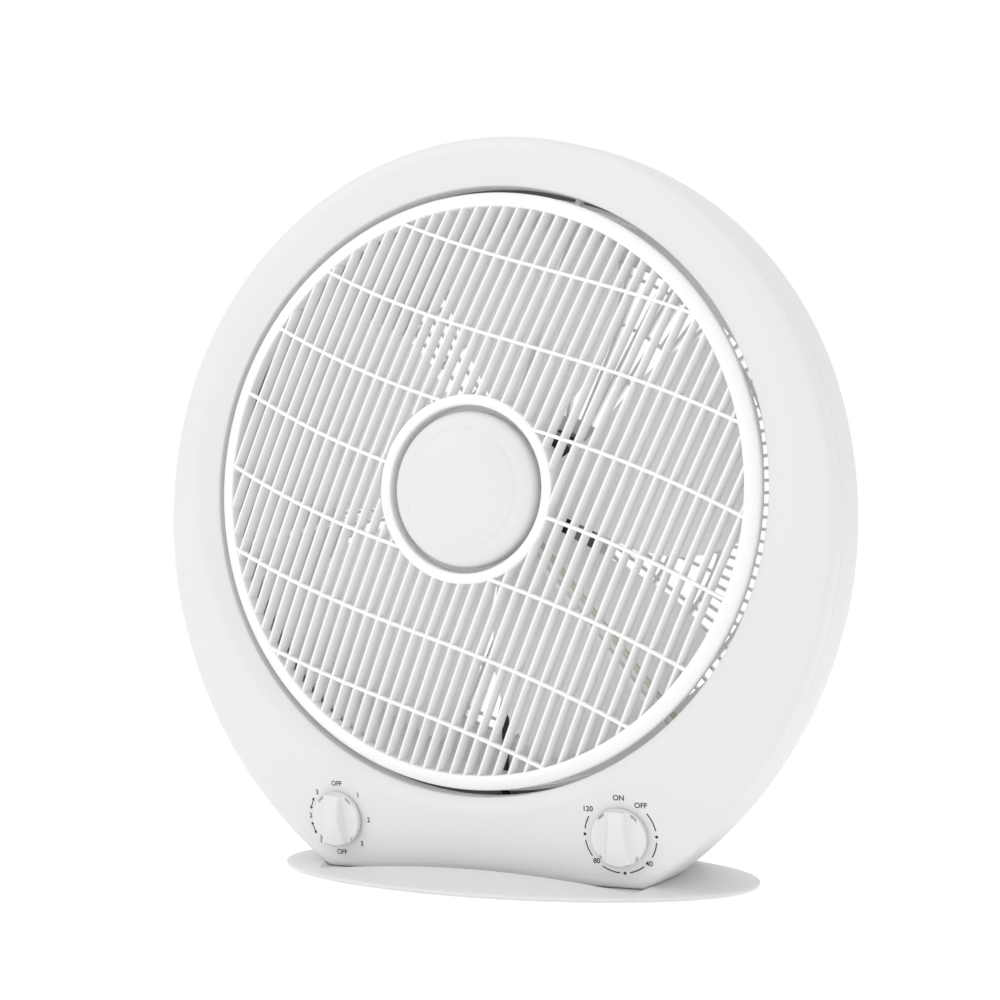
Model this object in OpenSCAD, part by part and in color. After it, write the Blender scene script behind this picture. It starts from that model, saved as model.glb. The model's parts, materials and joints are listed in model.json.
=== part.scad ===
// Free-standing box fan: two moulded shells on an oval foot, a slowly rotating
// louvre grille driven by a small synchronous motor, a five-blade impeller on a
// shaded-pole motor, a speed switch and a run-down timer.
// World frame: origin under the middle of the foot, the fan blows towards -Y.
// Most parts are drawn in the fan frame: origin at the middle of the front
// opening, x to the right, y up, z forward out of the fan.

/* [Body] */
// Radius of the round front opening
opening_r = 190; // [188:1:196]
// Height of the fan axis above the floor
axis_height = 245; // [244:0.5:260]
// Distance of the front opening in front of the middle of the foot
opening_offset = 59; // [50:1:65]
// Radius of the raised ridge around the opening
ridge_r = 205.8; // [204:0.2:208]
// Height of the ridge circle's centre above the fan axis
ridge_lift = 7.8; // [6:0.2:10]
// Forward rise of the ridge above the opening edge
ridge_rise = 4.6; // [3:0.2:6]
// Radius of the upper body outline
outline_r = 227.4; // [224:0.2:232]
// Depth of the outline circle's centre below the fan axis
outline_drop = 6.3; // [4:0.1:8]
// Radius of the two flatter lower flanks
flank_r = 267; // [255:1:290]
// Angle below horizontal at which the flanks take over from the outline circle
flank_angle = 16; // [10:1:25]
// Depth of the flat body underside below the fan axis
body_bottom = 240.5; // [238:0.5:243]
// Depth of the body behind the opening
body_depth = 118; // [112:1:130]
// Depth of the seam between front and rear shell
seam_depth = 14; // [10:1:20]
// Outward bulge of the side wall behind the seam
bulge = 3.6; // [1:0.1:5]
// Radius to which the rear shell tapers round the rear guard
rear_end_r = 197.5; // [196:0.5:204]
// Shell wall thickness
wall = 2.5; // [2:0.1:3.5]
// Depth of the wall around the front opening
lip_depth = 13; // [8:1:13]

/* [Foot] */
// Length of the oval foot
foot_length = 324; // [300:2:340]
// Width of the oval foot, front to back
foot_width = 196; // [190:2:210]
// Height of the dome of the foot
foot_height = 21.5; // [18:0.5:26]

/* [Rotary grille] */
// Outer radius of the grille rim
rim_outer_r = 186; // [184:0.5:187]
// Inner radius of the grille rim
rim_inner_r = 176.5; // [174:0.5:178]
// Outer radius of the grille's hub ring
hub_ring_r = 58.7; // [56:0.1:62]
// Inner radius of the grille's hub ring
hub_well_r = 52; // [50:0.5:54]
// Forward crown of the grille at its hub ring
grille_crown = 14.5; // [10:0.5:18]
// Distance between louvre slats
slat_pitch = 9.03; // [8.5:0.01:12]
// Lean of the slats from vertical
slat_lean = 24; // [15:1:30]
// Tilt of each slat's face, front to back
slat_tilt = 10; // [5:1:16]
// Front-to-back depth of a slat
slat_depth = 8.5; // [7:0.5:10]
// Thickness of a slat
slat_thick = 1.5; // [1.2:0.1:2]
// Distance between the curved cross ribs
rib_pitch = 47.9; // [44:0.1:52]
// Sideways sweep of each cross rib's S curve
rib_sweep = 8; // [4:0.5:12]
// Radius of the centre cap
cap_r = 48.5; // [46:0.5:50]

/* [Impeller and motor] */
// Radius of the impeller
impeller_r = 172; // [165:1:175]
// Number of blades
blade_count = 5; // [3:1:6]
// Radius of the motor
motor_r = 46; // [42:1:48]
// Radius of the motor shaft
shaft_r = 4; // [3.5:0.5:5]

/* [Rear guard] */
// Outer radius of the guard's ribbed field
guard_r = 165; // [160:0.5:168]
// Number of long ribs
inner_ribs = 60; // [40:2:72]
// Width of a guard rib
guard_rib = 2; // [1.6:0.1:2.6]

/* [Controls] */
// Sideways distance of each control from the middle
knob_x = 97; // [90:1:100]
// Depth of the controls below the fan axis
knob_drop = 208.6; // [206:0.1:210]
// Radius of a knob
knob_r = 17.4; // [16:0.1:18]
// Sideways tilt of a control axis
knob_yaw = 3; // [0:0.5:6]
// Downward tilt of a control axis
knob_pitch = 6.5; // [4:0.5:9]

/* [Hidden] */
$fn = 96;
eps = 0.05;

// Body outline: an upper arc, two flank arcs tangent to it and a flat underside
tangent_dir = [cos(flank_angle), sin(flank_angle)];
flank_centre = -(flank_r - outline_r) * tangent_dir + [0, -outline_drop];
corner_angle = atan2(-body_bottom, sqrt(pow(flank_r, 2) - pow(body_bottom + flank_centre[1], 2)) + flank_centre[0]);
side_steps = 92;
bottom_steps = 14;
body_angles = concat(
    [for (i = [0 : side_steps - 1]) corner_angle + (180 - 2 * corner_angle) * i / side_steps],
    [for (i = [0 : bottom_steps - 1]) 180 - corner_angle + (180 + 2 * corner_angle) * i / bottom_steps]
);
// Slope of the front face outside the ridge
face_slope = 0.17;
// Dome of the grille as a sphere through rim and hub ring
rim_front = 4.6;
dome_r = (pow(rim_inner_r, 2) - pow(hub_ring_r, 2)) / (2 * (grille_crown - rim_front));
dome_z = grille_crown - sqrt(dome_r * dome_r - hub_ring_r * hub_ring_r);
// Fixings
boss_angles = [18, 60, 120, 162, 205, 335];
boss_circle = 208;
low_bosses = [[-42, -222], [42, -222]];
boss_r = 4.6;
screw_r = 1.9;
spider_angles = [70, 190, 310];
spider_circle = 197.5;
guard_angles = [30, 150, 210, 330];
guard_circle = guard_r + 4.4;
foot_screw_xy = [[-80, -30], [80, -30], [-80, 30], [80, 30]];
foot_pad_xy = [[-112, -42], [112, -42], [-112, 42], [112, 42]];
foot_lift = 1.2;
// Rear shell: depth of its widest place, and the depths at which its skin is drawn
widest_depth = 38;
skin_stations = [-seam_depth, -20, -28, -38, -54, -70, -86, -98, -107, -112.5, -116.5];
duct_r = opening_r - 2;
// Axial layout, fan frame
spider_z = -22;
blade_rest = 7;
blade_sweep = 6;
impeller_front = -36;
impeller_back = -74;
motor_front = -67;
stack_front = -80;
stack_back = -102;
guard_front = -body_depth;
guard_thick = 4;
// Control panel
panel_z = ridge_rise - face_slope * (norm([knob_x, knob_drop + ridge_lift]) - ridge_r);
gland_at = [62, -217];
// Inner floor of the body and what stands on it
floor_y = wall - body_bottom;
capacitor_z = -68;
capacitor_ear = [-28.5, floor_y + 7];
lead_x = -31;
lead_z = -110;
block_x = -4;
block_z = -98;

// Places children drawn in the fan frame
module fan_frame() {
    translate([0, -opening_offset, axis_height]) rotate([90, 0, 0]) children();
}

// Inside the fan frame: origin on the panel face under a knob, z along its spindle
module control_frame(side) {
    translate([side * knob_x, -knob_drop, panel_z]) rotate([knob_pitch, side * knob_yaw, 0]) children();
}

// The same place reached from the world frame
module at_control(side) {
    fan_frame() control_frame(side) children();
}

// Distance from the fan axis to a circle centred at c, in direction t
function circle_reach(t, c, r) =
    let (b = c[0] * cos(t) + c[1] * sin(t))
    b + sqrt(b * b - c * c + r * r);

// Angle of direction t above the horizontal, the same on both sides
function climb(t) = asin(sin(t));

// Distance to the side wall grown by g, as if the underside weren't cut flat
function wall_reach(t, g) =
    let (
        side = cos(t) < 0 ? -1 : 1,
        tangent = [0, -outline_drop] + (outline_r + g) * tangent_dir,
        limit = atan2(tangent[1], tangent[0])
    )
    climb(t) > limit
        ? circle_reach(t, [0, -outline_drop], outline_r + g)
        : circle_reach(t, [side * flank_centre[0], flank_centre[1]], flank_r + g);

// Cuts a distance off at the flat underside, raised by lift
function over_underside(t, reach, lift) =
    sin(t) < -0.1 ? min(reach, (body_bottom - lift) / -sin(t)) : reach;

// Distance to the body outline grown by g, with its underside raised by lift
function outline_reach(t, g, lift) = over_underside(t, wall_reach(t, g), lift);

function ridge_reach(t) = circle_reach(t, [0, ridge_lift], ridge_r);

// Closed solid through one closed profile of [reach, z] points per angle
module swept_ring(angles, profiles) {
    n = len(angles);
    m = len(profiles[0]);
    points = [
        for (i = [0 : n - 1]) for (p = profiles[i])
            [p[0] * cos(angles[i]), p[0] * sin(angles[i]), p[1]]
    ];
    faces = [
        for (i = [0 : n - 1]) for (j = [0 : m - 1])
            let (
                i2 = (i + 1) % n,
                j2 = (j + 1) % m,
                a = i * m + j,
                b = i2 * m + j,
                c = i2 * m + j2,
                d = i * m + j2
            )
            each [[a, b, c], [a, c, d]]
    ];
    polyhedron(points, faces, convexity = 6);
}

// Front shell skin: lip, ridge, sloping face, rounded edge, side wall
function front_profile(t) =
    let (
        ridge = ridge_reach(t),
        edge = outline_reach(t, 0, 0),
        band = edge - ridge,
        fall = function (u) ridge_rise - max(face_slope * band, 3) * u,
        at = function (u) ridge + band * u
    )
    [
        [opening_r, -lip_depth],
        [opening_r, -0.6],
        [opening_r + 0.8, 0.3],
        [ridge - 2.4, ridge_rise - 0.5],
        [ridge, ridge_rise],
        [at(0.35), fall(0.28)],
        [edge - min(band * 0.3, 6), fall(0.92)],
        [edge - min(band * 0.1, 2), fall(1) - 1.4],
        [edge - 0.3, fall(1) - 3.6],
        [outline_reach(t, 0.8, 0), -seam_depth],
        [outline_reach(t, 0.8 - wall, wall), -seam_depth],
        [outline_reach(t, -0.4 - wall, wall), fall(1) - 4],
        [edge - min(band * 0.3, 6) - 1.2, fall(0.92) - wall],
        [ridge, ridge_rise - wall],
        [opening_r + wall, -2.2],
        [opening_r + wall, -lip_depth]
    ];

module blind_boss(x, y, z0, z1, r, hole, depth) {
    translate([x, y, z0]) difference() {
        cylinder(h = z1 - z0, r = r);
        translate([0, 0, -eps]) cylinder(h = depth + eps, r = hole);
    }
}

module at_ring(angles, r) {
    for (a = angles) rotate(a) translate([r, 0, 0]) children();
}

module front_shell() {
    color("white") fan_frame() difference() {
        union() {
            swept_ring(body_angles, [for (t = body_angles) front_profile(t)]);
            at_ring(boss_angles, boss_circle) translate([0, 0, -30]) cylinder(h = 32, r = boss_r);
            for (p = low_bosses) translate([p[0], p[1], -30]) cylinder(h = 30, r = boss_r);
            at_ring(spider_angles, spider_circle) translate([0, 0, -12]) cylinder(h = 12.4, r = 3.6);
            for (s = [-1, 1]) control_frame(s) control_posts();
        }
        at_ring(boss_angles, boss_circle) translate([0, 0, -30 - eps]) cylinder(h = 24, r = screw_r);
        for (p = low_bosses) translate([p[0], p[1], -30 - eps]) cylinder(h = 24, r = screw_r);
        at_ring(spider_angles, spider_circle) translate([0, 0, -12 - eps]) cylinder(h = 9, r = 1.4);
        for (s = [-1, 1]) control_frame(s) translate([0, 0, -9]) cylinder(h = 20, r = 5);
        for (s = [-1, 1]) control_frame(s) post_places() translate([0, 0, -10 - eps]) cylinder(h = 7, r = 1.4);
    }
}

module post_places() {
    for (s = [-1, 1]) translate([s * 19.5, 0, 0]) children();
}

module control_posts() {
    post_places() translate([0, 0, -10]) cylinder(h = 8.4, r = 3);
}

// How far the lower flanks keep their width towards the back, from 0 to 1
function low_share(t) =
    let (u = min(1, max(0, (-climb(t) - 10) / 50)))
    u * u * (3 - 2 * u);

// Distance to the rear shell's skin at depth z: it bulges, then tapers to the rear guard
function skin_reach(t, z, g = 0) =
    let (
        swell = bulge * (1 - 0.5 * low_share(t)),
        widest = wall_reach(t, swell + g),
        end = rear_end_r + g + (wall_reach(t, g) - rear_end_r - g) * 0.85 * low_share(t),
        near = (-z - seam_depth) / (widest_depth - seam_depth),
        far = (-z - widest_depth) / (body_depth - widest_depth)
    )
    far > 0
        ? widest + (end - widest) * pow(far, 1.12)
        : wall_reach(t, g + 0.8 + (swell - 0.8) * sin(90 * near));

// Lift of the underside at depth z, where the back edge is rounded
function back_lift(z) = max(0, -z - 98) * 0.1 + max(0, -z - 113) * 0.7;

function skin_point(t, z, grow = 0) =
    [over_underside(t, skin_reach(t, z) + grow, back_lift(z)), z];

function inner_point(t, z) = [over_underside(t, skin_reach(t, z, -wall), back_lift(z) + wall), z];

function back_edge(t) = [skin_point(t, -body_depth)[0] - 1, -body_depth];

// Rear shell skin: side wall, taper and rear wall round the guard, with even thickness
function rear_profile(t) = concat(
    [for (z = skin_stations) skin_point(t, z)],
    [
        back_edge(t),
        [guard_r, -body_depth],
        [guard_r, wall - body_depth]
    ],
    [for (i = [len(skin_stations) - 1 : -1 : 0]) inner_point(t, max(skin_stations[i], wall - body_depth))]
);

// The body's outer form as one solid, grown sideways; cuts the foot's pocket and trims posts
module body_solid(grow) {
    n = len(body_angles);
    rows = concat(
        [[for (t = body_angles) [ridge_reach(t), ridge_rise + grow]]],
        [for (i = [5 : 8]) [for (t = body_angles)
            let (p = front_profile(t)[i])
            [over_underside(t, p[0] + grow, 0), p[1] + grow]
        ]],
        [for (z = skin_stations) [for (t = body_angles) skin_point(t, z, grow)]],
        [[for (t = body_angles) back_edge(t) - [0, abs(grow)]]]
    );
    m = len(rows);
    points = [
        for (row = rows) for (i = [0 : n - 1])
            [row[i][0] * cos(body_angles[i]), row[i][0] * sin(body_angles[i]), row[i][1]]
    ];
    sides = [
        for (r = [0 : m - 2]) for (i = [0 : n - 1])
            let (i2 = (i + 1) % n)
            each [
                [r * n + i, r * n + i2, (r + 1) * n + i2],
                [r * n + i, (r + 1) * n + i2, (r + 1) * n + i]
            ]
    ];
    front = [for (i = [n - 1 : -1 : 0]) i];
    back = [for (i = [0 : n - 1]) (m - 1) * n + i];
    polyhedron(points, concat([front, back], sides), convexity = 6);
}

// Long hollow post: the screw head sits on a shoulder near its front end
module screw_post() {
    translate([0, 0, -body_depth + 1]) cylinder(h = body_depth - 31, r = boss_r);
}

module screw_well() {
    translate([0, 0, -body_depth - 1]) cylinder(h = body_depth - 37, r = 3.8);
    translate([0, 0, -body_depth - 1]) cylinder(h = body_depth, r = screw_r + 0.2);
}

module rear_shell() {
    color("white") fan_frame() difference() {
        union() {
            swept_ring(body_angles, [for (t = body_angles) rear_profile(t)]);
            intersection() {
                body_solid(-0.4);
                union() {
                    at_ring(boss_angles, boss_circle) screw_post();
                    for (p = low_bosses) translate([p[0], p[1], 0]) screw_post();
                }
            }
            for (p = foot_screw_xy)
                translate([p[0], -body_bottom, -p[1] - opening_offset])
                    rotate([-90, 0, 0]) cylinder(h = 12, r = 4.5);
            translate([capacitor_ear[0], capacitor_ear[1], capacitor_z])
                rotate([90, 0, 0]) cylinder(h = 8, r = 4);
        }
        at_ring(boss_angles, boss_circle) screw_well();
        for (p = low_bosses) translate([p[0], p[1], 0]) screw_well();
        at_ring(guard_angles, guard_circle) translate([0, 0, -body_depth - 1]) cylinder(h = wall + 2, r = 1.8);
        for (p = foot_screw_xy)
            translate([p[0], -body_bottom - eps, -p[1] - opening_offset])
                rotate([-90, 0, 0]) cylinder(h = 10, r = 1.7);
        translate([gland_at[0], gland_at[1], -body_depth - 1]) cylinder(h = 6, r = 6.05);
        translate([capacitor_ear[0], capacitor_ear[1], capacitor_z]) rotate([90, 0, 0]) cylinder(h = 7, r = 1.4);
    }
}

// Ring round the impeller with an inner flange, held to the rear wall by the guard's screws
module air_duct() {
    duct_wall = 2.2;
    duct_back = wall - body_depth;
    color("white") fan_frame() difference() {
        union() {
            difference() {
                translate([0, 0, duct_back]) cylinder(h = -40 - duct_back, r = duct_r + duct_wall);
                translate([0, 0, duct_back - 1]) cylinder(h = body_depth, r = guard_r + 0.5);
                translate([0, 0, duct_back + duct_wall]) cylinder(h = body_depth, r = duct_r);
            }
            at_ring(guard_angles, guard_circle) translate([0, 0, duct_back]) cylinder(h = 12, r = 2.9);
        }
        at_ring(guard_angles, guard_circle) translate([0, 0, duct_back - eps]) cylinder(h = 9, r = 1.35);
        translate([lead_x, -180, lead_z]) rotate([90, 0, 0]) cylinder(h = 16, r = 3);
    }
}

// Rear guard: flanged outer ring, hoops, long ribs and short ribs between them
module guard_rib_set(count, r0, r1, offset_angle) {
    for (i = [0 : count - 1])
        rotate(360 * (i + offset_angle) / count)
            translate([r0, -guard_rib / 2, 0]) square([r1 - r0, guard_rib]);
}

module hoop(r, width) {
    difference() {
        circle(r = r + width / 2);
        circle(r = r - width / 2);
    }
}

module rear_guard() {
    hoops = [94, 126, 158];
    ring_width = 8;
    color("white") fan_frame() translate([0, 0, guard_front - guard_thick]) difference() {
        union() {
            linear_extrude(guard_thick) {
                guard_rib_set(inner_ribs, 55, 126, 0);
                guard_rib_set(2 * inner_ribs, 126, guard_r + 1, 0);
                for (r = hoops) hoop(r, 2.2);
            }
            linear_extrude(guard_thick) hoop(guard_r + ring_width / 2 - 0.6, ring_width);
            cylinder(h = guard_thick, r = 56);
        }
        at_ring(guard_angles, guard_circle) translate([0, 0, -eps]) cylinder(h = guard_thick + 1, r = 1.7);
        at_ring([45, 135, 225, 315], 38) translate([0, 0, -eps]) cylinder(h = guard_thick + 1, r = 2.2);
        translate([0, 0, -eps]) cylinder(h = guard_thick + 1, r = 12);
    }
}

// Oval dome with a low upright rim, as stacked rings that shrink towards the top
module foot_dome() {
    turns = 96;
    steps = 11;
    rim = 1.6;
    top_share = 0.25;
    dome = foot_height - foot_lift - rim;
    shares = [for (i = [0 : steps]) 1 - (1 - top_share) * i / steps];
    levels = concat([[1, 0]], [for (u = shares) [u, rim + dome * (1 - pow(u, 1.5))]]);
    last = len(levels) - 1;
    points = [
        for (level = levels) for (k = [0 : turns - 1])
            let (a = 360 * k / turns)
            [foot_length / 2 * level[0] * cos(a), foot_width / 2 * level[0] * sin(a), level[1]]
    ];
    sides = [
        for (i = [0 : last - 1]) for (k = [0 : turns - 1])
            let (k2 = (k + 1) % turns)
            each [
                [i * turns + k, (i + 1) * turns + k, (i + 1) * turns + k2],
                [i * turns + k, (i + 1) * turns + k2, i * turns + k2]
            ]
    ];
    bottom = [for (k = [0 : turns - 1]) k];
    top = [for (k = [turns - 1 : -1 : 0]) last * turns + k];
    polyhedron(points, concat([bottom, top], sides), convexity = 4);
}

module foot_plate() {
    floor_z = axis_height - body_bottom;
    color("white") difference() {
        translate([0, 0, foot_lift]) foot_dome();
        fan_frame() body_solid(0.3);
        for (p = foot_pad_xy) translate([p[0], p[1], 0]) cylinder(h = foot_lift + 1.2, r = 9.2);
        for (p = foot_screw_xy) {
            translate([p[0], p[1], 0]) cylinder(h = floor_z + 1, r = 2.1);
            translate([p[0], p[1], 0]) cylinder(h = 3, r = 4.2);
        }
    }
}

module rubber_feet() {
    color("dimgray") for (p = foot_pad_xy) translate([p[0], p[1], 0]) {
        cylinder(h = foot_lift + 1.2, r = 9);
    }
}

// A pan-head screw pointing along +z with the underside of its head at z = 0
module screw(length, r, head_r, head_h) {
    difference() {
        union() {
            cylinder(h = length, r = r);
            translate([0, 0, -head_h]) cylinder(h = head_h, r = head_r);
        }
        for (a = [0, 90]) rotate(a)
            translate([-head_r * 0.6, -0.4, -head_h - eps]) cube([head_r * 1.2, 0.8, head_h * 0.6]);
    }
}

module foot_screws() {
    color("silver") for (p = foot_screw_xy) translate([p[0], p[1], 3]) screw(10, 1.65, 3.8, 1.6);
}

module shell_screws() {
    color("silver") fan_frame() {
        at_ring(boss_angles, boss_circle) translate([0, 0, -38]) screw(22, screw_r - eps, 3.5, 2);
        for (p = low_bosses) translate([p[0], p[1], -38]) screw(22, screw_r - eps, 3.5, 2);
    }
}

module guard_screws() {
    color("silver") fan_frame() at_ring(guard_angles, guard_circle)
        translate([0, 0, guard_front - guard_thick]) screw(14, 1.3, 2.9, 1.8);
}

// Fixed spider behind the grille: a cup for the grille motor on three spokes
module grille_spider() {
    cup_r = 29;
    color("white") fan_frame() difference() {
        union() {
            translate([0, 0, spider_z]) cylinder(h = 16, r = cup_r);
            for (a = spider_angles) rotate(a)
                translate([cup_r - 1, -1.6, spider_z + 2]) cube([spider_circle - cup_r - 2, 3.2, 6]);
            at_ring(spider_angles, spider_circle) translate([0, 0, -20]) cylinder(h = 8, r = 4.4);
        }
        translate([0, 0, spider_z + 2]) cylinder(h = 20, r = cup_r - 2);
        at_ring(spider_angles, spider_circle) translate([0, 0, -20 - eps]) cylinder(h = 9, r = 1.9);
        at_ring([0, 180], 22) translate([0, 0, spider_z - eps]) cylinder(h = 3, r = 1.7);
    }
}

module spider_screws() {
    color("silver") fan_frame() at_ring(spider_angles, spider_circle) translate([0, 0, -20]) screw(15, 1.35, 3, 1.8);
}

// Synchronous motor of the grille: flat drum with a bearing nose
module grille_motor() {
    base_z = spider_z + 2;
    color("gainsboro") fan_frame() difference() {
        union() {
            translate([0, 0, base_z]) cylinder(h = 13, r = 26.5);
            translate([0, 0, base_z + 12]) cylinder(h = 3, r = 6.5);
        }
        translate([0, 0, base_z + 4]) cylinder(h = 20, r = 3.55);
        at_ring([0, 180], 22) translate([0, 0, base_z - eps]) cylinder(h = 7, r = 1.5);
    }
}

module grille_motor_shaft() {
    color("silver") fan_frame() difference() {
        translate([0, 0, spider_z + 6.5]) cylinder(h = 24, r = 3.5);
        translate([0, 0, 0.5]) cylinder(h = 10, r = 1.35);
    }
}

module grille_motor_screws() {
    color("silver") fan_frame() at_ring([0, 180], 22) translate([0, 0, spider_z]) screw(8, 1.45, 3, 1.4);
}

// Domed band between front and back surface of slats and ribs
module dome_band(depth) {
    difference() {
        intersection() {
            translate([0, 0, dome_z]) sphere(r = dome_r, $fn = 200);
            translate([0, 0, -30]) cylinder(h = 80, r = rim_inner_r + 1);
        }
        translate([0, 0, dome_z]) sphere(r = dome_r - depth, $fn = 200);
        translate([0, 0, -40]) cylinder(h = 90, r = hub_ring_r - 1);
    }
}

// Parallel slats, each leaning to the right and tilted back to the right
module slats() {
    half_count = floor(rim_inner_r / slat_pitch);
    rotate(-slat_lean) for (i = [-half_count : half_count])
        translate([(i + 0.5) * slat_pitch, 0, 4]) rotate([0, -slat_tilt, 0])
            translate([-slat_thick, -200, -40]) cube([slat_thick, 400, 80]);
}

// Seven S-shaped cross ribs, drawn flat
function rib_line(u) = rib_sweep * sin(150 * u / opening_r);

module ribs_flat() {
    half = 1.1;
    steps = 30;
    span = 185;
    rotate(-slat_lean) for (k = [-3 : 3]) {
        us = [for (i = [0 : steps]) -span + 2 * span * i / steps];
        polygon(concat(
            [for (u = us) [u, k * rib_pitch + rib_line(u) - half]],
            [for (i = [steps : -1 : 0]) [us[i], k * rib_pitch + rib_line(us[i]) + half]]
        ));
    }
}

module grille_rims() {
    rotate_extrude() polygon([
        [rim_inner_r, -5], [rim_inner_r, 4.4], [rim_inner_r + 1.5, 5.4], [rim_inner_r + 4, 5.2],
        [rim_outer_r - 2.5, 3.2], [rim_outer_r - 0.6, 1.6], [rim_outer_r, 0.2], [rim_outer_r, -5]
    ]);
    rotate_extrude() polygon([
        [hub_well_r, -1], [hub_well_r, 12.8], [hub_well_r + 1.2, 14], [hub_ring_r - 3, grille_crown + 0.8],
        [hub_ring_r - 1, grille_crown + 0.4], [hub_ring_r, grille_crown - 1], [hub_ring_r, 3], [hub_ring_r - 2, -1]
    ]);
    translate([0, 0, -1]) cylinder(h = 3, r = hub_well_r + 1);
    translate([0, 0, -3]) cylinder(h = 9, r = 8);
}

module rotary_grille() {
    color("white") fan_frame() difference() {
        union() {
            grille_rims();
            intersection() {
                dome_band(slat_depth);
                slats();
            }
            intersection() {
                dome_band(4);
                translate([0, 0, -30]) linear_extrude(80) ribs_flat();
            }
        }
        translate([0, 0, -10]) cylinder(h = 30, r = 3.55);
        at_ring([90, 210, 330], 30) translate([0, 0, -5]) cylinder(h = 10, r = 2.6);
    }
}

// Snap-in cap: rounded skirt, crease circle and a raised lens
module centre_cap() {
    color("white") fan_frame() {
        rotate_extrude() polygon([
            [0, 24.5], [12, 24.1], [24, 22.7], [33, 20.6], [37, 19.2], [37.6, 18.7], [41, 18.4], [44.5, 17],
            [47, 14.6], [cap_r, 11], [cap_r, 2.3], [cap_r - 2, 2.3], [cap_r - 2, 11], [45, 14], [42, 16],
            [35, 17.2], [24, 20.4], [12, 21.8], [0, 22.2]
        ]);
        at_ring([90, 210, 330], 30) translate([0, 0, -2.5]) cylinder(h = 22, r = 2.5);
    }
}

module grille_screw() {
    color("silver") fan_frame() translate([0, 0, 8.6]) rotate([180, 0, 0]) screw(7.5, 1.3, 5.5, 2);
}

// One blade as a thin grid of points: radius steps by chord steps, two faces
module blade() {
    radii = 9;
    chords = 8;
    skin = 1.1;
    function reach(i) = 38 + (impeller_r - 38) * i / radii;
    function span(i) = 54 + 8 * sin(180 * i / radii) - 10 * pow(i / radii, 4);
    function sweep(i) = blade_sweep * pow(i / radii, 1.5);
    function height(i, j) =
        let (
            v = j / chords,
            root = min(1, 0.6 + 2.2 * i / radii),
            depth = (impeller_front - impeller_back - 8) * (1 - 0.25 * i / radii) * root
        )
        impeller_front - 5 - depth * (v + 0.10 * sin(180 * v));
    function point(i, j, side) =
        let (a = sweep(i) + span(i) * (j / chords - 0.5), thin = (j == 0 || j == chords || i == radii) ? 0.4 : 1)
        [reach(i) * cos(a), reach(i) * sin(a), height(i, j) + side * skin * thin];
    n = chords + 1;
    m = (radii + 1) * n;
    function at(i, j, side) = side * m + i * n + j;
    polyhedron(
        points = [for (s = [1, -1]) for (i = [0 : radii]) for (j = [0 : chords]) point(i, j, s)],
        faces = concat(
            [for (i = [0 : radii - 1]) for (j = [0 : chords - 1]) each [
                [at(i, j, 0), at(i, j + 1, 0), at(i + 1, j + 1, 0)],
                [at(i, j, 0), at(i + 1, j + 1, 0), at(i + 1, j, 0)],
                [at(i, j, 1), at(i + 1, j + 1, 1), at(i, j + 1, 1)],
                [at(i, j, 1), at(i + 1, j, 1), at(i + 1, j + 1, 1)]
            ]],
            [for (i = [0 : radii - 1]) each [
                [at(i, 0, 0), at(i + 1, 0, 0), at(i + 1, 0, 1)],
                [at(i, 0, 0), at(i + 1, 0, 1), at(i, 0, 1)],
                [at(i, chords, 0), at(i + 1, chords, 1), at(i + 1, chords, 0)],
                [at(i, chords, 0), at(i, chords, 1), at(i + 1, chords, 1)]
            ]],
            [for (j = [0 : chords - 1]) each [
                [at(0, j, 0), at(0, j, 1), at(0, j + 1, 1)],
                [at(0, j, 0), at(0, j + 1, 1), at(0, j + 1, 0)],
                [at(radii, j, 0), at(radii, j + 1, 1), at(radii, j, 1)],
                [at(radii, j, 0), at(radii, j + 1, 0), at(radii, j + 1, 1)]
            ]]
        ),
        convexity = 4
    );
}

module impeller() {
    hub_r = 40;
    color("white") fan_frame() difference() {
        union() {
            rotate_extrude() polygon([
                [0, impeller_front - 4], [30, impeller_front - 4], [36, impeller_front - 5.5],
                [39, impeller_front - 9], [hub_r, impeller_front - 13], [hub_r, impeller_back + 12],
                [hub_r - 2.5, impeller_back + 12], [hub_r - 2.5, impeller_front - 13],
                [35, impeller_front - 8], [0, impeller_front - 7]
            ]);
            translate([0, 0, -61]) cylinder(h = 20, r = 9);
            for (k = [0 : blade_count - 1]) rotate(blade_rest + 360 * k / blade_count) blade();
        }
        translate([0, 0, -80]) cylinder(h = 60, r = shaft_r + 0.02);
        translate([-8, -1.6, -61 - eps]) cube([16, 3.2, 3.2]);
    }
}

module spinner_nut() {
    color("white") fan_frame() difference() {
        rotate_extrude() polygon([
            [0, -28], [5, -28.4], [8, -30], [9, -33], [13, -38], [13, -40], [0, -40]
        ]);
        translate([0, 0, -41]) cylinder(h = 9, r = shaft_r + 0.02);
    }
}

module motor_shaft() {
    color("silver") fan_frame() difference() {
        translate([0, 0, -116]) cylinder(h = 83, r = shaft_r);
        translate([-8, 0, -59.4]) rotate([0, 90, 0]) cylinder(h = 16, r = 1.5);
    }
}

module drive_pin() {
    color("silver") fan_frame() translate([-7.5, 0, -59.4]) rotate([0, 90, 0]) cylinder(h = 15, r = 1.45);
}

module rotor_core() {
    color("gray") fan_frame() difference() {
        translate([0, 0, stack_back - 1]) cylinder(h = stack_front - stack_back + 2, r = 21.6);
        translate([0, 0, -110]) cylinder(h = 40, r = shaft_r + 0.02);
        at_ring([for (i = [0 : 11]) 30 * i], 15) translate([0, 0, stack_back - 2]) cylinder(h = 3, r = 1.5);
    }
}

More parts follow.
